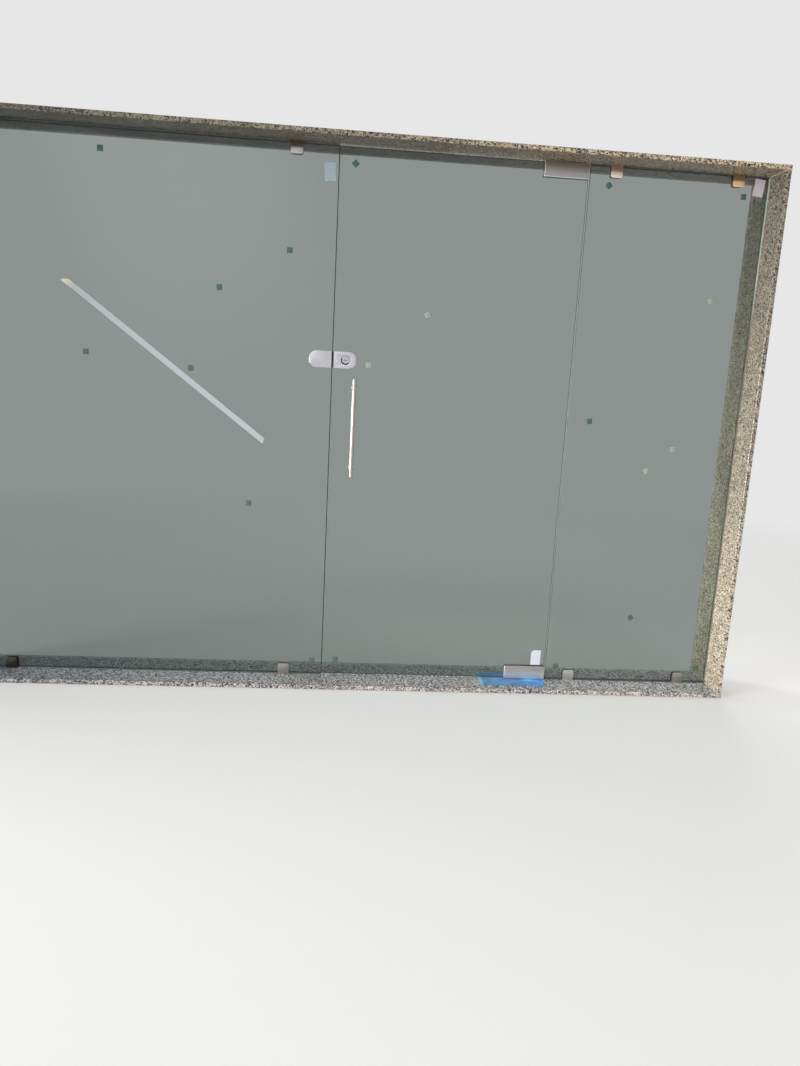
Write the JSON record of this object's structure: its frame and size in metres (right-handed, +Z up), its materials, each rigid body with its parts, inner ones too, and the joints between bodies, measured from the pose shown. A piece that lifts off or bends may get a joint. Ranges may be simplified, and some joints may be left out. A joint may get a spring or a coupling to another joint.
{
  "type": "glass partition",
  "caption": "Frameless glass shopfront in a stone lining: fixed panes and a double-swing door with patch fittings, floor spring, centre lock and pull handles.",
  "frame": {"origin": "middle of the sill's underside, on the mid-plane of the glass", "axes": "+X along the glass to the right as seen from the street, +Y from the street side to the inside, +Z up"},
  "size_m": [3.076, 0.27, 2.12],
  "materials": {
    "granite": "polished grey granite with fine dark speckle",
    "glass": "clear toughened float glass, greenish at its edges",
    "silicone": "translucent pale sealant",
    "satin_steel": "satin stainless steel",
    "lock_steel": "bright brushed stainless steel",
    "plug_metal": "plated key plug",
    "handle_steel": "bright brushed stainless tube",
    "machined_steel": "machined steel",
    "screw_steel": "zinc-plated screws",
    "clamp_alloy": "cast alloy clamp parts",
    "closer_iron": "cast closer body",
    "case_steel": "plated sheet case",
    "black_rubber": "black rubber",
    "nylon": "nylon",
    "blue_film": "blue protective film",
    "white_paper": "blank white paper",
    "white_strip": "white adhesive strip",
    "green_pad": "dark green foam pad"
  },
  "bodies": {
    "partition": {"sill": "granite", "lintel": "granite", "left_jamb": "granite", "right_jamb": "granite", "left_pane": "glass", "right_pane": "glass", "left_pane_sealant": "silicone", "right_pane_sealant": "silicone", "left_pane_clips": "satin_steel", "right_pane_clips": "satin_steel", "clip_gaskets": "black_rubber", "clip_screws": "screw_steel", "floor_spring_case": "case_steel", "floor_spring_body": "closer_iron", "floor_spring_cover": "satin_steel", "floor_spring_screws": "screw_steel", "cover_film": "blue_film", "top_pivot_plate": "clamp_alloy", "top_pivot_pin": "machined_steel", "top_pivot_screws": "screw_steel", "strike_outer_case": "lock_steel", "strike_inner_case": "lock_steel", "strike_gaskets": "black_rubber", "strike_box": "machined_steel", "strike_screws": "screw_steel", "pane_labels": "white_paper", "pane_pads": "green_pad", "adhesive_strip": "white_strip"},
    "door": {"door_pane": "glass", "floor_spring_spindle": "machined_steel", "bottom_patch_outer_half": "clamp_alloy", "bottom_patch_inner_half": "clamp_alloy", "bottom_patch_gaskets": "black_rubber", "bottom_patch_outer_cover": "satin_steel", "bottom_patch_inner_cover": "satin_steel", "bottom_patch_screws": "screw_steel", "bottom_patch_arm": "clamp_alloy", "top_patch_outer_half": "clamp_alloy", "top_patch_inner_half": "clamp_alloy", "top_patch_gaskets": "black_rubber", "top_patch_outer_cover": "satin_steel", "top_patch_inner_cover": "satin_steel", "top_patch_screws": "screw_steel", "top_patch_socket": "clamp_alloy", "top_patch_bush": "nylon", "lock_outer_case": "lock_steel", "lock_inner_case": "lock_steel", "lock_gaskets": "black_rubber", "lock_body": "machined_steel", "lock_cylinder": "lock_steel", "lock_screws": "screw_steel", "outer_handle": "handle_steel", "inner_handle": "handle_steel", "handle_washers": "nylon", "handle_bolts": "machined_steel", "door_label": "white_paper", "door_pads": "green_pad"},
    "bolt": {"lock_bolt": "machined_steel"},
    "key_plug": {"lock_key_plug": "plug_metal"},
    "thumb_turn": {"lock_thumb_turn": "lock_steel"}
  },
  "joints": [
    {"name": "door_swing", "type": "hinge", "parent": "partition", "child": "door", "pos_m": [0.747, 0, 0.018], "axis": [0, 0, 1], "range_deg": [-90, 90], "stiffness_Nm_per_rad": 12},
    {"name": "thumb_turn_turn", "type": "hinge", "parent": "door", "child": "thumb_turn", "pos_m": [-0.076, 0, 1.295], "axis": [0, 1, 0], "range_deg": [0, 90]},
    {"name": "key_plug_turn", "type": "hinge", "parent": "door", "child": "key_plug", "pos_m": [-0.076, 0, 1.295], "axis": [0, 1, 0], "range_deg": [0, 90]},
    {"name": "bolt_slide", "type": "slide", "parent": "door", "child": "bolt", "axis": [-1, 0, 0], "range_m": [0, 0.014]}
  ],
  "couplings": [
    {"joint": "thumb_turn_turn", "follows": "bolt_slide", "rad_per_m": 112.19},
    {"joint": "key_plug_turn", "follows": "bolt_slide", "rad_per_m": 112.19}
  ]
}
